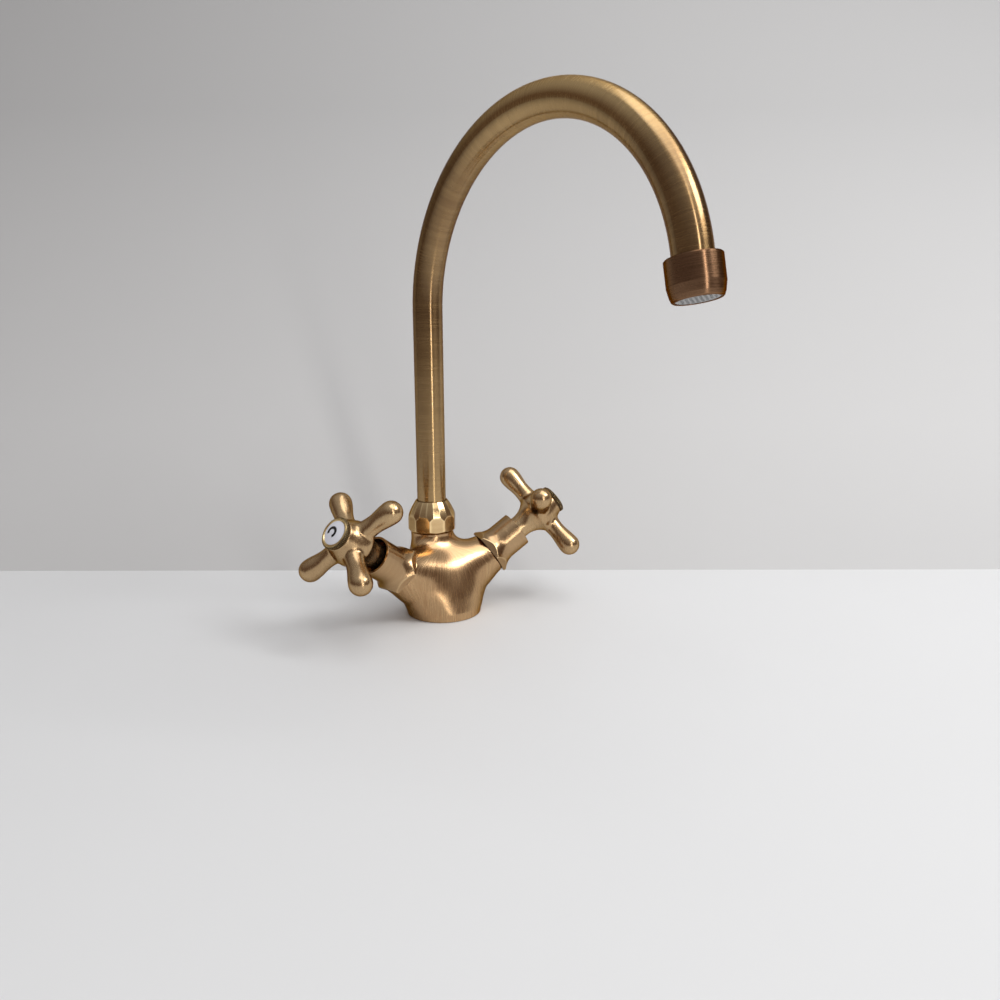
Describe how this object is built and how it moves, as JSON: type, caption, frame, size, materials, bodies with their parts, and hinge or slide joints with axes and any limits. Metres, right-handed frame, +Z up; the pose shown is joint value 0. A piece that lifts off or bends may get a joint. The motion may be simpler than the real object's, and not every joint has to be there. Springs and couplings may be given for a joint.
{
  "type": "single-hole basin mixer",
  "caption": "Deck-mounted basin mixer with a Y body, cross handles on canted branches and a swivelling swan neck spout with an aerator.",
  "frame": {"origin": "centre of the base's underside, on the deck", "axes": "+Z up along the spout's column, -Y towards the user, +X to the user's right, on the cold handle's side"},
  "size_m": [0.1821, 0.2191, 0.2909],
  "materials": {
    "antique_brass": "satin, brushed and antiqued",
    "light_brass": "satin, turned",
    "spout_brass": "lacquered, with brown patina",
    "dark_brass": "satin, patinated dark",
    "machined_brass": "machined",
    "porcelain": "glossy glaze",
    "valve_ceramic": "lapped",
    "steel": "plain",
    "rubber": "matt",
    "fibre": "pressed fibre",
    "glide_plastic": "moulded",
    "grey_plastic": "moulded"
  },
  "bodies": {
    "tap_body": {"body": "antique_brass", "base_seal": "rubber", "spout_nut": "light_brass", "lower_glide_ring": "glide_plastic", "upper_glide_ring": "glide_plastic", "left_shroud": "light_brass", "left_headwork_body": "machined_brass", "left_headwork_gasket": "fibre", "left_seat_seal": "rubber", "left_fixed_disc": "valve_ceramic", "right_shroud": "light_brass", "right_headwork_body": "machined_brass", "right_headwork_gasket": "fibre", "right_seat_seal": "rubber", "right_fixed_disc": "valve_ceramic"},
    "spout": {"spout_tube": "spout_brass", "spout_ferrule": "machined_brass", "lower_spout_o_ring": "rubber", "upper_spout_o_ring": "rubber", "outlet_bush": "machined_brass", "aerator_housing": "dark_brass", "aerator_insert": "grey_plastic", "aerator_gauze": "steel", "aerator_washer": "rubber"},
    "left_handle": {"left_cross_handle": "antique_brass", "left_index_ring": "dark_brass", "left_index_disc": "porcelain", "left_handle_screw": "steel", "left_spindle": "machined_brass", "left_moving_disc": "valve_ceramic", "left_spindle_clip": "steel", "left_upper_spindle_o_ring": "rubber", "left_lower_spindle_o_ring": "rubber"},
    "right_handle": {"right_cross_handle": "antique_brass", "right_index_ring": "dark_brass", "right_index_disc": "porcelain", "right_handle_screw": "steel", "right_spindle": "machined_brass", "right_moving_disc": "valve_ceramic", "right_spindle_clip": "steel", "right_upper_spindle_o_ring": "rubber", "right_lower_spindle_o_ring": "rubber"}
  },
  "joints": [
    {"name": "spout_swivel", "type": "hinge", "parent": "tap_body", "child": "spout", "pos_m": [0, 0.01283, 0.06], "axis": [0, 0, 1], "continuous": true},
    {"name": "left_handle_turn", "type": "hinge", "parent": "tap_body", "child": "left_handle", "pos_m": [-0.06788, -0.01178, 0.05859], "axis": [-0.7892, -0.2159, 0.575], "range_deg": [0, 90]},
    {"name": "right_handle_turn", "type": "hinge", "parent": "tap_body", "child": "right_handle", "pos_m": [0.06788, -0.01178, 0.05859], "axis": [0.7892, -0.2159, 0.575], "range_deg": [0, 90]}
  ]
}
